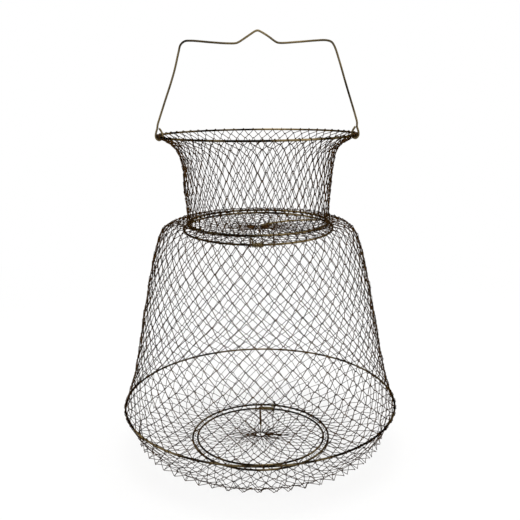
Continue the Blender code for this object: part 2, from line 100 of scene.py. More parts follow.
def plated_wire(name, deep, bright, rim, gloss, patches=160.0, clear=(0.34, 0.68)):
    """A dull plating, between a deep and a bright colour, with rubbed spots and a fine tooth."""
    finish = bpy.data.materials.new(name)
    finish.use_nodes = True
    nodes, links = finish.node_tree.nodes, finish.node_tree.links
    shader = nodes["Principled BSDF"]
    shader.inputs["Metallic"].default_value = 1.0
    shader.inputs["Specular Tint"].default_value = (*rim, 1.0)
    place = nodes.new("ShaderNodeTexCoord")

    def noise(scale, detail):
        texture = nodes.new("ShaderNodeTexNoise")
        texture.inputs["Scale"].default_value = scale
        texture.inputs["Detail"].default_value = detail
        links.new(place.outputs["Object"], texture.inputs["Vector"])
        return texture.outputs["Fac"]

    clouds = nodes.new("ShaderNodeValToRGB")
    clouds.color_ramp.elements[0].position = clear[0]
    clouds.color_ramp.elements[0].color = (*deep, 1.0)
    clouds.color_ramp.elements[1].position = clear[1]
    clouds.color_ramp.elements[1].color = (*bright, 1.0)
    links.new(noise(patches, 4.0), clouds.inputs["Fac"])
    rubbed = nodes.new("ShaderNodeValToRGB")
    rubbed.color_ramp.elements[0].position = SPOT_EDGES[0]
    rubbed.color_ramp.elements[0].color = RUBBED_SPOT
    rubbed.color_ramp.elements[1].position = SPOT_EDGES[1]
    rubbed.color_ramp.elements[1].color = UNRUBBED
    spotted = noise(SPOTS_PER_METRE, 3.0)
    links.new(spotted, rubbed.inputs["Fac"])
    mixed = nodes.new("ShaderNodeMix")
    mixed.data_type = "RGBA"
    mixed.blend_type = "MULTIPLY"
    mixed.inputs["Factor"].default_value = 1.0
    links.new(clouds.outputs["Color"], mixed.inputs["A"])
    links.new(rubbed.outputs["Color"], mixed.inputs["B"])
    links.new(mixed.outputs["Result"], shader.inputs["Base Color"])
    dulling = nodes.new("ShaderNodeMapRange")
    dulling.inputs["From Min"].default_value = 0.25
    dulling.inputs["From Max"].default_value = 0.75
    dulling.inputs["To Min"].default_value = gloss + SPOT_DULLING
    dulling.inputs["To Max"].default_value = gloss
    links.new(spotted, dulling.inputs["Value"])
    links.new(dulling.outputs["Result"], shader.inputs["Roughness"])
    bump = nodes.new("ShaderNodeBump")
    bump.inputs["Strength"].default_value = TOOTH_STRENGTH
    bump.inputs["Distance"].default_value = TOOTH_DEPTH
    links.new(noise(TOOTH_PER_METRE, 2.0), bump.inputs["Height"])
    links.new(bump.outputs["Normal"], shader.inputs["Normal"])
    print(f"finish {name}: roughness {gloss:.2f} to {gloss + SPOT_DULLING:.2f}")
    return finish


BRONZE = plated_wire(
    "dull_bronze_plating",
    deep=(0.016, 0.013, 0.008),
    bright=(0.215, 0.165, 0.085),
    rim=(0.20, 0.18, 0.14),
    gloss=0.24,
    patches=17.0,
)
AGED = plated_wire(
    "aged_hoop_plating",
    deep=(0.010, 0.008, 0.005),
    bright=(0.230, 0.172, 0.084),
    rim=(0.16, 0.14, 0.10),
    gloss=0.26,
    patches=24.0,
    clear=(0.46, 0.68),
)
BRASS = plated_wire(
    "thin_brass_plating",
    deep=(0.030, 0.023, 0.012),
    bright=(0.260, 0.195, 0.085),
    rim=(0.30, 0.25, 0.15),
    gloss=0.22,
)
STEEL = plated_wire(
    "dark_net_plating",
    deep=(0.013, 0.007, 0.003),
    bright=(0.078, 0.041, 0.015),
    rim=(0.18, 0.12, 0.07),
    gloss=0.32,
)
RUBBED = plated_wire(
    "rubbed_clip_plating",
    deep=(0.012, 0.009, 0.005),
    bright=(0.085, 0.060, 0.030),
    rim=(0.18, 0.15, 0.11),
    gloss=0.28,
    patches=60.0,
)

# %% [markdown]
# ## Bending round wire
# A curve with a bevel is the usual way to make wire in Blender. Here the skin is made ring by ring
# instead, because one mesh then holds hundreds of wires, and because each ring is carried on from the
# last one, so that the skin never twists or pinches at a sharp bend.

# %% A helper that skins wires
def rings_along(points, radius, sides, closed):
    """The skin's rings: each is turned on from the last by the bend between them, and by no more."""
    count = len(points)
    ahead = [(points[(i + 1) % count] - points[i]).normalized() for i in range(count)]
    if not closed:
        ahead[-1] = ahead[-2]
    heading = [
        (ahead[i - 1] + ahead[i]).normalized() if closed or i else ahead[0] for i in range(count)
    ]
    start = heading[0].orthogonal().normalized()
    side, sides_of = start, [start]
    for before, after in zip(heading, heading[1:]):
        side = before.rotation_difference(after) @ side
        sides_of.append(side)
    left_over = 0.0
    if closed:
        side = heading[-1].rotation_difference(heading[0]) @ side
        left_over = math.atan2(heading[0].dot(start.cross(side)), start.dot(side))
    rings = []
    for i, (point, way, side) in enumerate(zip(points, heading, sides_of)):
        other = way.cross(side)
        for k in range(sides):
            turn = 2 * math.pi * k / sides - left_over * i / count
            rings.append(point + (side * math.cos(turn) + other * math.sin(turn)) * radius)
    return rings


def make_piece(name, corners, faces, finish):
    """One smooth mesh object of one finish."""
    mesh = bpy.data.meshes.new(name)
    mesh.from_pydata([tuple(corner) for corner in corners], [], faces)
    mesh.shade_smooth()
    mesh.materials.append(finish)
    piece = bpy.data.objects.new(name, mesh)
    bpy.context.scene.collection.objects.link(piece)
    print(f"{name}: {len(faces)} faces")
    return piece


def skin(name, wires, radius, sides, finish, closed=True):
    """One piece that skins every wire in a list of point lists."""
    corners, faces = [], []
    for points in wires:
        first, count = len(corners), len(points)
        corners += rings_along(points, radius, sides, closed)
        for i in range(count if closed else count - 1):
            here, there = first + i * sides, first + (i + 1) % count * sides
            for k in range(sides):
                beside = (k + 1) % sides
                faces.append((here + k, here + beside, there + beside, there + k))
        if not closed:
            faces.append(tuple(first + k for k in reversed(range(sides))))
            faces.append(tuple(first + (count - 1) * sides + k for k in range(sides)))
    return make_piece(name, corners, faces, finish)


def polar(radius, angle, height):
    """A point at this radius, angle and height."""
    return Vector((radius * math.cos(angle), radius * math.sin(angle), height))


# %% [markdown]
# ## Hoops
# A hoop is one ring of drawn wire, butt-welded. A torus would do, but the skinned wire keeps every
# piece to one recipe. Each hoop takes the place of the coarse one in the frame, and rides on its body.

# %% Bend the six hoops
HOOP_WIRE = 2.4 * MM
MOUTH_RADIUS, MOUTH_HEIGHT = 112.1 * MM, 380.4 * MM
NECK_RADIUS, NECK_HEIGHT = 81.8 * MM, 279.7 * MM
BELLY_RADIUS, BELLY_HEIGHT = 165.0 * MM, 57.4 * MM
BOTTOM_RADIUS, BOTTOM_HEIGHT = 85.2 * MM, 6.2 * MM
LID_RADIUS, LID_HEIGHT = 86.8 * MM, NECK_HEIGHT - 6.65 * MM
TRAP_RADIUS, TRAP_HEIGHT = 79.1 * MM, BOTTOM_HEIGHT
LID_TILT, TRAP_TILT = math.radians(1.55), math.radians(2.0)
LID_TURN, TRAP_TURN = math.radians(2.8), math.radians(175.4)


def settle(height, tilt, turn):
    """How a door lies: laid out flat with its hinge at the front, tilted, lifted and turned."""
    turned = Matrix.Rotation(turn, 4, "Z") @ Matrix.Rotation(tilt, 4, "X")
    return Matrix.Translation((0.0, 0.0, height)) @ turned


LID_PLACE = settle(LID_HEIGHT, LID_TILT, LID_TURN)
TRAP_PLACE = settle(TRAP_HEIGHT, TRAP_TILT, TRAP_TURN)


def hoop(name, radius, place, diameter, body, finish=AGED, bends=240):
    """A round hoop that stands for the frame's hoop of the same name."""
    ring = [place @ polar(radius, 2 * math.pi * i / bends, 0.0) for i in range(bends)]
    piece = skin("round_" + name, [ring], diameter / 2, 12, finish)
    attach(piece, body)
    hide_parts(name)


def level(height):
    """The place of something that lies level at this height."""
    return Matrix.Translation((0.0, 0.0, height))


hoop("mouth_hoop", MOUTH_RADIUS, level(MOUTH_HEIGHT), HOOP_WIRE, "mouth")
hoop("neck_hoop", NECK_RADIUS, level(NECK_HEIGHT), HOOP_WIRE, "neck")
hoop("belly_hoop", BELLY_RADIUS, level(BELLY_HEIGHT), HOOP_WIRE, "belly")
hoop("bottom_hoop", BOTTOM_RADIUS, level(BOTTOM_HEIGHT), HOOP_WIRE, "foot")
hoop("lid_hoop", LID_RADIUS, LID_PLACE, HOOP_WIRE, "lid")
hoop("trap_door_hoop", TRAP_RADIUS, TRAP_PLACE, HOOP_WIRE, "trap_door")

# %% [markdown]
# ## The net's outline
# The net is a body of revolution, so its shape is one curve of radius against height: flared at the
# mouth, nearly straight at the throat, round over the shoulder, and almost straight down to the belly.
# A smooth curve through a few measured bends gives it. The rows are then marked off along the curve.

# %% Draw outlines and mark off rows
ZIGZAGS = 56
STROKE = 11.5 * MM
PITCH = 2 * math.pi / ZIGZAGS


class Outline:
    """A smooth curve through bends of radius and height, measured along its length."""

    def __init__(self, bends, steps=24):
        knots = [Vector(bend) for bend in bends]
        knots = [knots[0] * 2 - knots[1]] + knots + [knots[-1] * 2 - knots[-2]]
        self.points = [knots[1]]
        for a, b, c, d in zip(knots, knots[1:], knots[2:], knots[3:]):
            for step in range(1, steps + 1):
                self.points.append(self.between(a, b, c, d, step / steps))
        self.marks = [0.0]
        for one, other in zip(self.points, self.points[1:]):
            self.marks.append(self.marks[-1] + (other - one).length)
        self.length = self.marks[-1]

    @staticmethod
    def between(a, b, c, d, share):
        """A point of the centripetal curve through four bends, between the middle two."""
        t = [0.0]
        for one, other in ((a, b), (b, c), (c, d)):
            t.append(t[-1] + math.sqrt((other - one).length))
        here = t[1] + (t[2] - t[1]) * share

        def mix(p, q, i, j):
            return p.lerp(q, (here - t[i]) / (t[j] - t[i]))

        ab, bc, cd = mix(a, b, 0, 1), mix(b, c, 1, 2), mix(c, d, 2, 3)
        return mix(mix(ab, bc, 0, 2), mix(bc, cd, 1, 3), 1, 2)

    def at(self, distance):
        """The point there, the way down the net, and the way out of the basket."""
        index = int(np.searchsorted(self.marks, distance).clip(1, len(self.marks) - 1))
        one, other = self.points[index - 1], self.points[index]
        down = (other - one).normalized()
        return one + down * (distance - self.marks[index - 1]), down, Vector((-down.y, down.x))

    def rows(self, count, zigzags=ZIGZAGS):
        """Marks for this many rows whose wires all have the same stroke, however wide the net is."""
        low, high = 0.2 * STROKE, 4 * STROKE
        for _ in range(40):
            stroke, marks = (low + high) / 2, [0.0]
            for _ in range(count):
                across = self.at(marks[-1])[0].x * math.pi / zigzags
                marks.append(marks[-1] + math.sqrt(max(stroke**2 - across**2, (stroke / 9) ** 2)))
            low, high = (stroke, high) if marks[-1] < self.length else (low, stroke)
        print(f"{count} rows over {self.length / MM:.0f} mm, stroke {stroke / MM:.1f} mm")
        return marks


NECK_OUTLINE = Outline(
    [(MOUTH_RADIUS, MOUTH_HEIGHT), (0.0910, 0.3640), (0.0840, 0.3250), (NECK_RADIUS, NECK_HEIGHT)]
)
BODY_OUTLINE = Outline(
    [
        (NECK_RADIUS, NECK_HEIGHT),
        (0.0969, 0.2805),
        (0.1120, 0.2712),
        (0.1378, 0.1700),
        (0.1530, 0.0930),
        (BELLY_RADIUS, BELLY_HEIGHT),
    ]
)
WALL_OUTLINE = Outline([(BELLY_RADIUS, BELLY_HEIGHT), (0.1570, 0.0405), (0.1445, 0.0230)])
TUCK_OUTLINE = Outline(
    [
        (0.1445, 0.0230),
        (0.1350, 0.0130),
        (0.1180, 0.0040),
        (0.1070, 0.0013),
        (0.0970, 0.0026),
        (BOTTOM_RADIUS, BOTTOM_HEIGHT),
    ]
)

# %% [markdown]
# ## Weaving the net
# Each row is one closed wire, crimped to and fro. Its peaks come up on the inside of the row above,
# cross over the valley there and leave on the outside, so each peak hangs in a valley and nothing is
# knotted. At a hoop the wire wraps round the hoop instead. A modeller could cut a diamond pattern
# from a sheet, but the hooks are what makes this net, and they show at every crossing.
#
# A real net is never even: a slow wave moves whole patches of crossings, and each crossing has a
# small error of its own. Both wires of a crossing share its error, so they stay hooked.

# %% Weave rows of hooked zigzag wire
NET_WIRE, WALL_WIRE = 0.73 * MM, 0.88 * MM
HOOK_REACH = 0.78 * MM
HOOK_WIDTH = 0.55 * MM
HOOK_TURN = math.radians(115)
HOOP_REACH = (HOOP_WIRE + WALL_WIRE) / 2 + 0.13 * MM
HOOP_BENDS, HOOP_BEND_STEP = 3, 0.4
PEAK_SHOULDER, PEAK_TIP = 0.16 * MM, -0.42 * MM
VALLEY_SHOULDER, VALLEY_TIP = 0.14 * MM, 0.40 * MM
FREE_TIP = Vector((6.4, -4.0)) * MM
FREE_TIP_ASIDE, FREE_SHOULDER = 1.5 * MM, 0.93
ELBOW_ROOM = 0.24
WAVES, WAVE_LEAN = 6, 0.55
OWN_ERROR, HELD_SHARE = 0.22, 0.25
DRIFT_ASIDE, DRIFT_DOWN = 0.28, 0.20


def crossings(outline, marks, start, seed, wander, fixed_ends, zigzags, bulge):
    """Every crossing of the net: its distance down the outline, its angle and its push outwards."""
    chance = np.random.default_rng(seed)
    rows, turns, pitch = len(marks), np.arange(zigzags), 2 * math.pi / zigzags
    slow = chance.uniform(0, 2 * math.pi, (3, WAVES))
    grid = []
    for k in range(rows):
        base = start + (turns + k / 2) * pitch
        drift = np.zeros((3, zigzags))
        for which in range(3):
            for wave in range(WAVES):
                lean = slow[which, wave] + WAVE_LEAN * k * (wave % 3 + 1)
                drift[which] += np.sin((wave + 2) * base + lean) / WAVES
        drift += chance.normal(0.0, OWN_ERROR, (3, zigzags))
        drift *= wander
        if k in fixed_ends:
            drift[0] *= HELD_SHARE
            drift[1:] *= 0.0
        spacing = min(marks[1] - marks[0], marks[-1] - marks[-2])
        radius = outline.at(marks[k])[0].x
        angle = base + drift[0] * pitch * DRIFT_ASIDE
        down = marks[k] + drift[1] * spacing * DRIFT_DOWN
        push = drift[2] * bulge
        grid.append([(float(a), float(d), float(p), radius) for a, d, p in zip(angle, down, push)])
    return grid


def weave(
    outline,
    marks,
    start,
    seed,
    top,
    bottom,
    wander=1.0,
    zigzags=ZIGZAGS,
    lowest=0.4 * MM,
    bulge=1.1 * MM,
    room=None,
):
    """The wires of a net, one list of points a row. An end is a hoop, a free edge or a hooked edge."""
    last, pitch, reach = len(marks) - 1, 2 * math.pi / zigzags, HOOK_REACH
    fixed = [k for k, kind in ((0, top), (last, bottom)) if kind[0] == "hoop"]
    grid = crossings(outline, marks, start, seed, wander, fixed, zigzags, bulge)
    if room:
        grid = [[room(*crossing) for crossing in row] for row in grid]

    def spot(crossing, along, down, out, tip=0.0):
        angle, distance, push, radius = crossing
        point, way, outwards = outline.at(min(max(distance, 0.0), outline.length))
        point = point + way * down + outwards * (out + push) + FREE_TIP * tip
        along = min(max(along, -radius * pitch * ELBOW_ROOM), radius * pitch * ELBOW_ROOM)
        return polar(point.x, angle + along / max(point.x, 1 * MM), max(point.y, lowest))

    def wrap(crossing, side, kind):
        """The wire's path round one crossing: side -1 for a peak, 1 for a valley."""
        if kind[0] == "hoop":
            path = []
            for step in range(-HOOP_BENDS, HOOP_BENDS + 1):
                turned = math.pi / 2 + HOOK_TURN * step / HOOP_BENDS
                lean, rise = math.cos(turned), math.sin(turned)
                along = step * HOOK_WIDTH * HOOP_BEND_STEP
                beyond = kind[2] * max(0.0, 1 - abs(step) / HOOP_BENDS)
                path.append(spot(crossing, along, side * (rise * kind[1] + beyond), side * lean * kind[1]))
            return path
        if kind[0] == "free":
            aside = side * FREE_TIP_ASIDE
            return [
                spot(crossing, aside - HOOK_WIDTH, 0.0, side * reach / 2, FREE_SHOULDER),
                spot(crossing, aside, 0.0, 0.0, 1.0),
                spot(crossing, aside + HOOK_WIDTH, 0.0, -side * reach / 2, FREE_SHOULDER),
            ]
        if side < 0:
            return [
                spot(crossing, -HOOK_WIDTH, PEAK_SHOULDER, -reach),
                spot(crossing, 0.0, PEAK_TIP, 0.0),
                spot(crossing, HOOK_WIDTH, PEAK_SHOULDER, reach),
            ]
        return [
            spot(crossing, -HOOK_WIDTH, VALLEY_SHOULDER, 0.0),
            spot(crossing, 0.0, VALLEY_TIP, 0.0),
            spot(crossing, HOOK_WIDTH, VALLEY_SHOULDER, 0.0),
        ]

    wires = []
    for k in range(last):
        peaks, valleys = grid[k], grid[k + 1]
        above = top if k == 0 else ("hook",)
        below = bottom if k + 1 == last else ("hook",)
        wire = []
        for peak, valley in zip(peaks, valleys):
            wire += wrap(peak, -1, above) + wrap(valley, 1, below)
        wires.append(wire)
    return wires


# %% [markdown]
# ## Hooking the net to the hoops
# The net comes in three parts between the mouth and the ground, and each part rides on one of the hoops
# it hooks. Every part is turned by some share of a zigzag, so that its hooks miss the hinges' links and
# springs. The hooks on the mouth hoop also part beside the bail's two eyes and hang a little lower
# there, because the bail swings and would cut the net otherwise.

# %% Hook the nets to the hoops
HINGE_HALF_SPAN = 12.5 * MM
LID_AZIMUTH = LID_TURN - math.pi / 2
TRAP_AZIMUTH = TRAP_TURN - math.pi / 2
ON_HOOP = ("hoop", HOOP_REACH, 0.0)
PAST_HOOP = ("hoop", HOOP_REACH, 2.2 * MM)
WALL_BULGE = 2.8 * MM
FOLDING_ROWS = 4
NECK_SHIFT, BODY_SHIFT, FOOT_SHIFT = -0.34, 0.17, 0.79

neck_rows = NECK_OUTLINE.rows(12)
body_rows = BODY_OUTLINE.rows(29)
wall_rows = WALL_OUTLINE.rows(5)
tuck_rows = TUCK_OUTLINE.rows(7)

neck_end = LID_AZIMUTH + math.asin(HINGE_HALF_SPAN / NECK_RADIUS) + NECK_SHIFT * PITCH
neck_start = neck_end - 6 * PITCH
body_start = neck_end + BODY_SHIFT * PITCH
foot_end = TRAP_AZIMUTH + math.asin(HINGE_HALF_SPAN / BOTTOM_RADIUS) + FOOT_SHIFT * PITCH
tuck_start = foot_end - 3.5 * PITCH
wall_start = tuck_start - 2.5 * PITCH

EYE_PART, EYE_DROP, EYE_FADE = 3.2 * MM, 2.4 * MM, 25 * MM


def beside_eyes(angle, distance, push, radius):
    """Part the hooks on both sides of the bail's eyes, and lower the crossing under each."""
    off = math.remainder(angle, math.pi) / (PITCH / 2)
    near = max(0.0, 1 - distance / EYE_FADE)
    angle += near * EYE_PART / MOUTH_RADIUS * off * math.exp((1 - off**2) / 2)
    if distance > 0:
        distance += near * EYE_DROP * math.exp(-(off**2))
    return angle, distance, push, radius


def net(name, wires, body, nodes, joint=None, width=NET_WIRE):
    """A net piece that rides on a body; when a joint is given, its mesh is copied."""
    piece = skin(name, wires, width / 2, 5, STEEL)
    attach(piece, body)
    if joint:
        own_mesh(piece)
    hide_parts(*nodes)


def row_nodes(part, count):
    """The frame's coarse rows of one part of the net."""
    return [f"{part}_net_row_{i + 1:02d}" for i in range(count)]


neck_wires = weave(
    NECK_OUTLINE, neck_rows, neck_start, 11, ON_HOOP, ON_HOOP, 0.5, bulge=WALL_BULGE, room=beside_eyes
)
net(
    "fine_neck_net",
    neck_wires,
    "mouth",
    row_nodes("neck", 5),
    "mouth_slide",
    WALL_WIRE,
)
body_wires = weave(BODY_OUTLINE, body_rows, body_start, 12, ON_HOOP, ON_HOOP, 0.4, bulge=WALL_BULGE)
net(
    "fine_body_net",
    body_wires,
    "neck",
    row_nodes("body", 10),
    "neck_slide",
    WALL_WIRE,
)
wall_wires = weave(WALL_OUTLINE, wall_rows, wall_start, 13, ON_HOOP, ("free",), 0.6)
tuck_wires = weave(TUCK_OUTLINE, tuck_rows, tuck_start, 14, ("free",), PAST_HOOP, 0.8)
net(
    "fine_skirt_net",
    wall_wires + tuck_wires[:FOLDING_ROWS],
    "belly",
    row_nodes("skirt", 4),
    "belly_slide",
)
net("fine_foot_net", tuck_wires[FOLDING_ROWS:], "foot", ["base_net"])

# %% [markdown]
# ## Doors
# Each door is a flat hoop with the same net stretched across it. Towards the middle the zigzags have
# less and less room, so the wires crowd together until a small ring gathers them all. The crowd is
# never even: it bunches to two sides of the hole. The same weaving does this, on an outline that runs
# from the hoop in to the ring.

# %% Stretch the doors' nets and gather them
GATHER_RADIUS, GATHER_WIRE = 6.5 * MM, 1.1 * MM
DOOR_WIRE = 0.66 * MM
BUNCH_REACH, BUNDLING = 40 * MM, 0.8
RUFFLE, RUFFLE_WAVE = 1.6 * MM, 3 * MM


def bunch(point, amount, bundles):
    """Crowd the wires towards two sides, and into bundles, more so near the middle."""
    radius, angle = math.hypot(point.x, point.y), math.atan2(point.y, point.x)
    near = 1 - min(max((radius - GATHER_RADIUS) / BUNCH_REACH, 0.0), 1.0)
    angle -= amount * near * math.sin(2 * angle) / 2
    angle -= BUNDLING * math.sqrt(near) * math.sin(bundles * angle) / bundles
    rise = RUFFLE * near**2 * (1 - near**6) * math.sin(5 * angle + radius / RUFFLE_WAVE)
    return Vector((radius * math.cos(angle), radius * math.sin(angle), point.z + rise))


def door_net(door, radius, place, rows, zigzags, seed, amount, bundles, edge):
    """The flat net of a door, hooked round its hoop and its gather ring."""
    hooked = Outline([(radius, 0.0), (radius * 0.6, 0.0), (radius * 0.3, 0.0), (GATHER_RADIUS, 0.0)])
    marks = hooked.rows(rows, zigzags)
    ring = ("hoop", (GATHER_WIRE + NET_WIRE) / 2 + 0.05 * MM, 0.0)
    flat = weave(hooked, marks, 0.1, seed, edge, ring, 0.7, zigzags, -1.0)
    wires = [[place @ bunch(point, amount, bundles) for point in wire] for wire in flat]
    net(f"fine_{door}_net", wires, door, [f"{door}_net"], width=DOOR_WIRE)
    hoop(f"{door}_gather_ring", GATHER_RADIUS, place, GATHER_WIRE, door, STEEL, 64)


door_net("lid", LID_RADIUS, LID_PLACE, 10, 34, 21, 0.0, 17, ON_HOOP)
door_net("trap_door", TRAP_RADIUS, TRAP_PLACE, 9, 36, 22, 0.25, 14, PAST_HOOP)

# %% [markdown]
# ## Hinges and springs
# Two closed wire links hold each door to its hoop. Between them sits one bent wire: a hook over the
# fixed hoop, a coil round the door's hoop, and a long arm that presses on the net, with a small
# sleeve squeezed round it. The path of that wire is written out turn by turn and then skinned. On the
# basket it bends between two bodies, because its hook stays on the hoop while its arm swings with the
# door; here the piece is left where it is made and rides on no body, so it neither bends nor moves.
#
# A bend by distance along the coil would carry the lid's arm, which lies wholly past the coil, with its
# door. The trap door's arm slants back beside its own coil, so its end would turn less than the door:
# a fault of none with the door shut, and about 20 mm with it wide open.

# %% Bend the links
LINK_WIRE = 1.6 * MM
SPRING_WIRE = 1.2 * MM
SEAT_GAP = 0.3 * MM
LINK_BENDS = 10


def strand_at(x, radius, height, tilt):
    """Where a hoop's wire passes the hinge, as depth and height, this far to the side."""
    depth = -math.sqrt(radius**2 - x**2)
    return Vector((depth * math.cos(tilt), height + depth * math.sin(tilt)))


def link(name, x, upper, lower, turn, body):
    """A long closed link round two strands."""
    reach = (HOOP_WIRE + LINK_WIRE) / 2 + SEAT_GAP
    along = (lower - upper).normalized()
    across = Vector((-along.y, along.x))
    points = []
    for strand, facing in ((upper, -1), (lower, 1)):
        for step in range(LINK_BENDS + 1):
            angle = math.pi * step / LINK_BENDS
            spot = strand + (across * math.cos(angle) + along * math.sin(angle)) * facing * reach
            points.append(Matrix.Rotation(turn, 4, "Z") @ Vector((x, spot.x, spot.y)))
    piece = skin("round_" + name, [points], LINK_WIRE / 2, 10, RUBBED)
    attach(piece, body)
    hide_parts(name)


LID_PIN = strand_at(HINGE_HALF_SPAN, LID_RADIUS, LID_HEIGHT, LID_TILT)
TRAP_PIN = strand_at(HINGE_HALF_SPAN, TRAP_RADIUS, TRAP_HEIGHT, TRAP_TILT)
for side, label in ((-1, "left"), (1, "right")):
    x = side * HINGE_HALF_SPAN
    link(f"lid_hinge_link_{label}", x, strand_at(x, NECK_RADIUS, NECK_HEIGHT, 0.0), LID_PIN, LID_TURN, "neck")
    over = strand_at(x, BOTTOM_RADIUS, BOTTOM_HEIGHT, 0.0)
    link(f"trap_door_hinge_link_{label}", x, over, TRAP_PIN, TRAP_TURN, "foot")

# %% Wind the springs
COIL_PITCH, COIL_GAP = 1.75 * MM, 0.5 * MM
SLEEVE_WALL, FRAME_NET_WIRE = 0.6 * MM, 0.9 * MM
ARM_LIFT = SPRING_WIRE / 2 + SEAT_GAP + SLEEVE_WALL + FRAME_NET_WIRE / 2 + SEAT_GAP
OVER_BENDS, COIL_BENDS, ARM_BENDS = 12, 24, 8


def curve_through(points, steps):
    """A smooth curve through points, for wire that is bent by hand."""
    ends = [points[0] * 2 - points[1]] + points + [points[-1] * 2 - points[-2]]
    curve = [points[0]]
    for a, b, c, d in zip(ends, ends[1:], ends[2:], ends[3:]):
        curve += [Outline.between(a, b, c, d, step / steps) for step in range(1, steps + 1)]
    return curve


def spring(door, radius, height, tilt, turn, over_radius, over_height, turns, tail):
    """The hook, the coil and the arm of a door's spring, as one wire."""
    x0 = (LINK_WIRE + SPRING_WIRE) / 2 + SEAT_GAP * 2 - HINGE_HALF_SPAN
    over = strand_at(x0, over_radius, over_height, 0.0)
    along = (strand_at(x0, radius, height, tilt) - over).normalized()
    across = Vector((-along.y, along.x))
    hook_reach = (HOOP_WIRE + SPRING_WIRE) / 2 + SEAT_GAP
    points = []
    for step in range(OVER_BENDS + 1):
        angle = math.pi * (1 - step / OVER_BENDS)
        spot = over + (across * math.cos(angle) - along * math.sin(angle)) * hook_reach
        points.append(Vector((x0, spot.x, spot.y)))
    inward = Vector((math.cos(tilt), math.sin(tilt)))
    leave = math.atan2(-across.dot(inward), along.dot(inward)) % (2 * math.pi)
    total, reach = turns * 2 * math.pi + leave, (HOOP_WIRE + SPRING_WIRE) / 2 + COIL_GAP
    count = round(total / (2 * math.pi) * COIL_BENDS)
    for step in range(count + 1):
        angle = total * step / count
        x = x0 + COIL_PITCH * angle / (2 * math.pi)
        outwards = (across * math.cos(angle) + along * math.sin(angle)) * reach
        spot = strand_at(x, radius, height, tilt) + outwards
        points.append(Vector((x, spot.x, spot.y)))
    coil_start, coil_end, coil_count = points[OVER_BENDS + 1], points[-1], len(points)
    arm = [Vector((x, y, height + y * math.tan(tilt) + ARM_LIFT + lift)) for x, y, lift in tail]
    points += curve_through([points[-1]] + arm, ARM_BENDS)[1:]
    turned = Matrix.Rotation(turn, 4, "Z")
    wire = [turned @ p for p in points]
    piece = skin(f"wound_{door}_spring", [wire], SPRING_WIRE / 2, 10, BRASS, closed=False)
    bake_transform(piece)
    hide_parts(f"{door}_spring")
    return wire[coil_count - 1 : coil_count + ARM_BENDS]


# The lid's arm goes out over the net, and its free end is doubled back beside it.
lid_tail = [(0.0, -0.012, 0.0), (0.002, 0.0, 0.0), (0.0147, 0.0125, 0.0), (0.044, 0.025, 0.0)]
lid_tail += [(0.070, 0.025, 0.0), (0.0719, 0.0233, 0.0), (0.070, 0.0216, 0.0)]
lid_tail += [(0.0450, 0.0216, 0.0), (0.0170, 0.0095, 0.0), (0.0045, -0.0020, 0.0)]
lid_arm = spring(
    door="lid",
    radius=LID_RADIUS,
    height=LID_HEIGHT,
    tilt=LID_TILT,
    turn=LID_TURN,
    over_radius=NECK_RADIUS,
    over_height=NECK_HEIGHT,
    turns=6,
    tail=lid_tail,
)
# The trap door's arm is straight, and its end bends down into the gather ring.
trap_tail = [(0.0, -0.0065, 0.0), (0.0, -0.00325, 0.0), (0.0, -0.00217, -2 * ARM_LIFT)]
trap_arm = spring(
    door="trap_door",
    radius=TRAP_RADIUS,
    height=TRAP_HEIGHT,
    tilt=TRAP_TILT,
    turn=TRAP_TURN,
    over_radius=BOTTOM_RADIUS,
    over_height=BOTTOM_HEIGHT,
    turns=9,
    tail=trap_tail,
)

# %% [markdown]
# One link of the trap door is a clip with a leg: its wire goes on over the bottom hoop and ends over
# the net, a little inside the door's hoop.

# %% Bend the clip's leg
LEG_WIRE = 1.5 * MM
LEG_BENDS = [(-88.4, 6.8), (-88.6, 9.6), (-85.6, 11.2), (-76.0, 9.6), (-49.0, 6.0)]
leg_path = curve_through([Vector((-HINGE_HALF_SPAN, y * MM, z * MM)) for y, z in LEG_BENDS], 6)
swing = Matrix.Rotation(TRAP_TURN, 4, "Z")
leg = skin("bent_clip_leg", [[swing @ p for p in leg_path]], LEG_WIRE / 2, 10, RUBBED, closed=False)
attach(leg, "foot")

# %% [markdown]
# ## Sleeves
# The sleeve on each arm is a bit of tube squeezed in round its middle, which is how it grips the wire.

# %% Squeeze the sleeves on
SLEEVE_DISTANCE = 30 * MM
SLEEVE_HALF, SLEEVE_ROUNDING, SQUEEZED = 3.5 * MM, 0.3 * MM, 0.9
SLEEVE_LIP, SLEEVE_LIP_RISE = 0.25 * MM, 0.05 * MM


def sleeve(door, start, end, share):
    """A tube round the arm, with rolled ends and a squeezed middle."""
    bore, wall, half = SPRING_WIRE / 2 + SEAT_GAP, SLEEVE_WALL, SLEEVE_HALF
    profile = [
        (bore, half),
        (bore + SLEEVE_LIP, half + SLEEVE_LIP_RISE),
        (bore + wall, half - SLEEVE_ROUNDING),
        (bore + wall, half / 3),
        (bore + wall * SQUEEZED, 0.0),
        (bore + wall, -half / 3),
        (bore + wall, SLEEVE_ROUNDING - half),
        (bore + SLEEVE_LIP, -half - SLEEVE_LIP_RISE),
        (bore, -half),
    ]
    corners, faces, sides = [], [], 20
    middle = start.lerp(end, share)
    lying = Matrix.Translation(middle) @ (end - start).to_track_quat("Z", "Y").to_matrix().to_4x4()
    for radius, height in profile:
        for k in range(sides):
            corners.append(lying @ polar(radius, 2 * math.pi * k / sides, height))
    for i in range(len(profile)):
        after = (i + 1) % len(profile)
        for k in range(sides):
            beside = (k + 1) % sides
            faces.append((i * sides + k, after * sides + k, after * sides + beside, i * sides + beside))
    piece = make_piece(f"squeezed_{door}_sleeve", corners, faces, STEEL)
    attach(piece, door)
    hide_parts(f"{door}_crimp")


def share_to_middle(start, end, distance):
    """How far along the arm its distance from the basket's axis comes down to this."""
    first, last = math.hypot(start.x, start.y), math.hypot(end.x, end.y)
    return (first - distance) / (first - last)


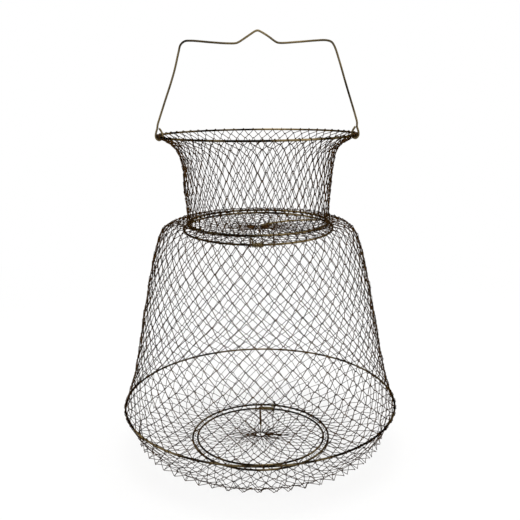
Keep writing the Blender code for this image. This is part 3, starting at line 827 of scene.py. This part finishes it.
for door, arm in (("lid", lid_arm), ("trap_door", trap_arm)):
    sleeve(door, arm[0], arm[-1], share_to_middle(arm[0], arm[-1], SLEEVE_DISTANCE))

# %% [markdown]
# The trap door's arm looks three times as thick as its wire, and ribbed: a second wire is wound round
# it, turn against turn, from the hinge to the sleeve. A helix round the arm's own path gives that.

# %% Wind the second wire round the trap door's arm
BINDING_START, BINDING_END = 3 * MM, 3.7 * MM
BINDING_PITCH = NET_WIRE * 1.12


def winding(path, first, last, wire_width, turn_length, steps=14):
    """Points of a helix round part of a path, from one distance along it to another."""
    marks = [0.0]
    for one, other in zip(path, path[1:]):
        marks.append(marks[-1] + (other - one).length)
    count = round((last - first) / turn_length * steps)
    points = []
    for i in range(count + 1):
        distance = first + (last - first) * i / count
        index = int(np.searchsorted(marks, distance).clip(1, len(marks) - 1))
        one, other = path[index - 1], path[index]
        way = (other - one).normalized()
        side = way.cross(Vector((0.0, 0.0, 1.0))).normalized()
        turn = 2 * math.pi * i / steps
        around = side * math.cos(turn) + side.cross(way) * math.sin(turn)
        points.append(one + way * (distance - marks[index - 1]) + around * (SPRING_WIRE + wire_width) / 2)
    return points


arm_length = sum((q - p).length for p, q in zip(trap_arm, trap_arm[1:]))
sleeve_at = arm_length * share_to_middle(trap_arm[0], trap_arm[-1], SLEEVE_DISTANCE)
wound_wire = winding(trap_arm, BINDING_START, sleeve_at - BINDING_END, NET_WIRE, BINDING_PITCH)
binding = skin("wound_trap_door_binding", [wound_wire], NET_WIRE / 2, 6, STEEL, closed=False)
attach(binding, "trap_door")

# %% [markdown]
# ## Bail
# The bail is one wire again: an eye round the mouth hoop at each end, a leg, a rounded shoulder, and a
# small peak in the middle that keeps it centred on whatever it hangs from. It was bent by hand, so its
# legs bow a little and its top dips, and a smooth curve through the bends says that better than arcs.
# Each eye comes up again beside its own leg and closes there, so that the hoop can't slip out.

# %% Bend the bail
BAIL_WIRE = 2.3 * MM
LEFT_LEG = [(-112.6, 392.6), (-110.0, 400.0), (-102.8, 419.6), (-96.0, 437.6), (-91.0, 452.5)]
LEFT_TOP = [(-86.0, 471.0), (-83.6, 478.6), (-79.0, 482.4), (-72.3, 483.0), (-50.9, 481.2)]
LEFT_FOOT_OF_PEAK = [(-33.6, 479.9), (-22.0, 480.0), (-18.6, 481.4)]
PEAK = [(-6.6, 488.9), (-0.8, 492.4), (1.8, 493.0), (4.4, 492.2), (12.6, 487.4), (22.4, 480.6)]
RIGHT_TOP = [(26.0, 479.7), (48.5, 480.7), (65.0, 481.8), (77.5, 482.0), (83.2, 480.2), (86.6, 475.6)]
RIGHT_LEG = [(92.4, 459.5), (99.3, 437.4), (106.6, 414.9), (111.4, 400.0), (113.4, 392.6)]
EYE_OUTSIDE = [(1.3, 7.8), (2.6, 3.8), (3.4, 0.2), (2.8, -3.3), (0.1, -5.4)]
EYE_INSIDE = [(-3.0, -4.2), (-4.3, -0.8), (-3.8, 2.5), (-2.4, 5.4), (-0.6, 7.9)]
EYE_STEP_ASIDE = 0.32


def upright(x, z):
    """A point in the bail's plane, given in millimetres."""
    return Vector((x * MM, 0.0, z * MM))


def eye(side):
    """An eye bent round the mouth hoop, from the leg down the outside and up again inside."""
    middle = upright(side * MOUTH_RADIUS / MM, MOUTH_HEIGHT / MM)
    bend = [middle + Vector((side * x * MM, 0.0, z * MM)) for x, z in EYE_OUTSIDE + EYE_INSIDE]
    for step, point in enumerate(bend[len(EYE_OUTSIDE) :], 1):
        point.y -= side * step * EYE_STEP_ASIDE * MM
    return bend


top = LEFT_TOP + LEFT_FOOT_OF_PEAK + PEAK + RIGHT_TOP
hand_bent = [upright(x, z) for x, z in LEFT_LEG + top + RIGHT_LEG]
handle = curve_through(list(reversed(eye(-1))) + hand_bent + eye(1), 6)
print(f"bail wire {sum((q - p).length for p, q in zip(handle, handle[1:])):.3f} m long")
bail = skin("round_bail", [handle], BAIL_WIRE / 2, 12, BRONZE, closed=False)
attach(bail, "bail")
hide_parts("bail")

# %% [markdown]
# ## Stage
# The floor is one wide round sheet of pale paper. The camera sees most of its colour as plain white,
# which keeps the fine wire crisp against it, and the rest is lit, so that the basket's soft shadow
# still shows. Further out the plain share grows to all of it, and hides where the paper ends.

# %% Lay the paper
PAPER_RADIUS, PAPER_SIDES = 7.0, 96
SHADE_RADIUS, PLAIN_RADIUS, PLAIN_NEAR = 0.3, 1.1, 0.74
paper = bpy.data.materials.new("pale_paper")
paper.use_nodes = True
nodes, links = paper.node_tree.nodes, paper.node_tree.links
lit = nodes["Principled BSDF"]
lit.inputs["Base Color"].default_value = (0.93, 0.93, 0.93, 1.0)
lit.inputs["Roughness"].default_value = 0.9
white = nodes.new("ShaderNodeEmission")
seen = nodes.new("ShaderNodeLightPath")
spread = nodes.new("ShaderNodeVectorMath")
spread.operation = "LENGTH"
fade = nodes.new("ShaderNodeMapRange")
fade.interpolation_type = "SMOOTHSTEP"
fade.inputs["From Min"].default_value = SHADE_RADIUS
fade.inputs["From Max"].default_value = PLAIN_RADIUS
fade.inputs["To Min"].default_value = PLAIN_NEAR
fade.inputs["To Max"].default_value = 1.0
portion = nodes.new("ShaderNodeMath")
portion.operation = "MULTIPLY"
both = nodes.new("ShaderNodeMixShader")
links.new(nodes.new("ShaderNodeTexCoord").outputs["Object"], spread.inputs[0])
links.new(spread.outputs["Value"], fade.inputs["Value"])
links.new(fade.outputs["Result"], portion.inputs[0])
links.new(seen.outputs["Is Camera Ray"], portion.inputs[1])
links.new(portion.outputs["Value"], both.inputs["Fac"])
links.new(lit.outputs["BSDF"], both.inputs[1])
links.new(white.outputs["Emission"], both.inputs[2])
links.new(both.outputs["Shader"], nodes["Material Output"].inputs["Surface"])
paper_mesh = bpy.data.meshes.new("paper")
rim = [tuple(polar(PAPER_RADIUS, 2 * math.pi * i / PAPER_SIDES, 0.0)) for i in range(PAPER_SIDES)]
paper_mesh.from_pydata(rim, [], [tuple(range(PAPER_SIDES))])
paper_mesh.materials.append(paper)
floor = bpy.data.objects.new("paper", paper_mesh)
bpy.context.scene.collection.objects.link(floor)
print(f"paper laid, {2 * PAPER_RADIUS:.0f} m across")

# %% [markdown]
# ## Light
# Polished wire shows what is around it, so the light comes from big soft panels: one overhead, one on
# each side in front. The world adds a plain even fill. The camera, and what the metal mirrors, sees
# the world as white.

# %% Hang the lights
LAMPS_AIM = Vector((0.0, 0.0, 0.2))
FILL_COLOUR, FILL_STRENGTH = (1.0, 0.99, 0.97, 1.0), 0.65


def panel(name, place, size, power):
    """A soft square lamp that faces the basket."""
    lamp = bpy.data.objects.new(name, bpy.data.lights.new(name, "AREA"))
    lamp.data.size = size
    lamp.data.energy = power
    facing = (LAMPS_AIM - Vector(place)).to_track_quat("-Z", "Y")
    lamp.matrix_world = Matrix.Translation(place) @ facing.to_matrix().to_4x4()
    bpy.context.scene.collection.objects.link(lamp)
    print(f"lamp {name}: {power:.0f} W over {size:.1f} m")


panel("overhead", place=(0.1, 0.1, 1.9), size=1.6, power=18.0)
panel("left", place=(-1.5, -1.1, 1.2), size=1.0, power=9.0)
panel("right", place=(1.6, -0.9, 1.0), size=1.0, power=7.0)

world = bpy.data.worlds.new("even_fill")
bpy.context.scene.world = world
world.use_nodes = True
nodes, links = world.node_tree.nodes, world.node_tree.links
nodes.clear()
fill, white = nodes.new("ShaderNodeBackground"), nodes.new("ShaderNodeBackground")
fill.inputs["Color"].default_value = FILL_COLOUR
fill.inputs["Strength"].default_value = FILL_STRENGTH
white.inputs["Color"].default_value = (1.0, 1.0, 1.0, 1.0)
white.inputs["Strength"].default_value = 1.0
path = nodes.new("ShaderNodeLightPath")
either, any_of = nodes.new("ShaderNodeMath"), nodes.new("ShaderNodeMath")
either.operation = any_of.operation = "MAXIMUM"
blend = nodes.new("ShaderNodeMixShader")
out = nodes.new("ShaderNodeOutputWorld")
links.new(path.outputs["Is Camera Ray"], either.inputs[0])
links.new(path.outputs["Is Glossy Ray"], either.inputs[1])
links.new(either.outputs["Value"], any_of.inputs[0])
links.new(path.outputs["Is Transmission Ray"], any_of.inputs[1])
links.new(any_of.outputs["Value"], blend.inputs["Fac"])
links.new(fill.outputs["Background"], blend.inputs[1])
links.new(white.outputs["Background"], blend.inputs[2])
links.new(blend.outputs["Shader"], out.inputs["Surface"])
bpy.context.scene.view_settings.view_transform = "Standard"
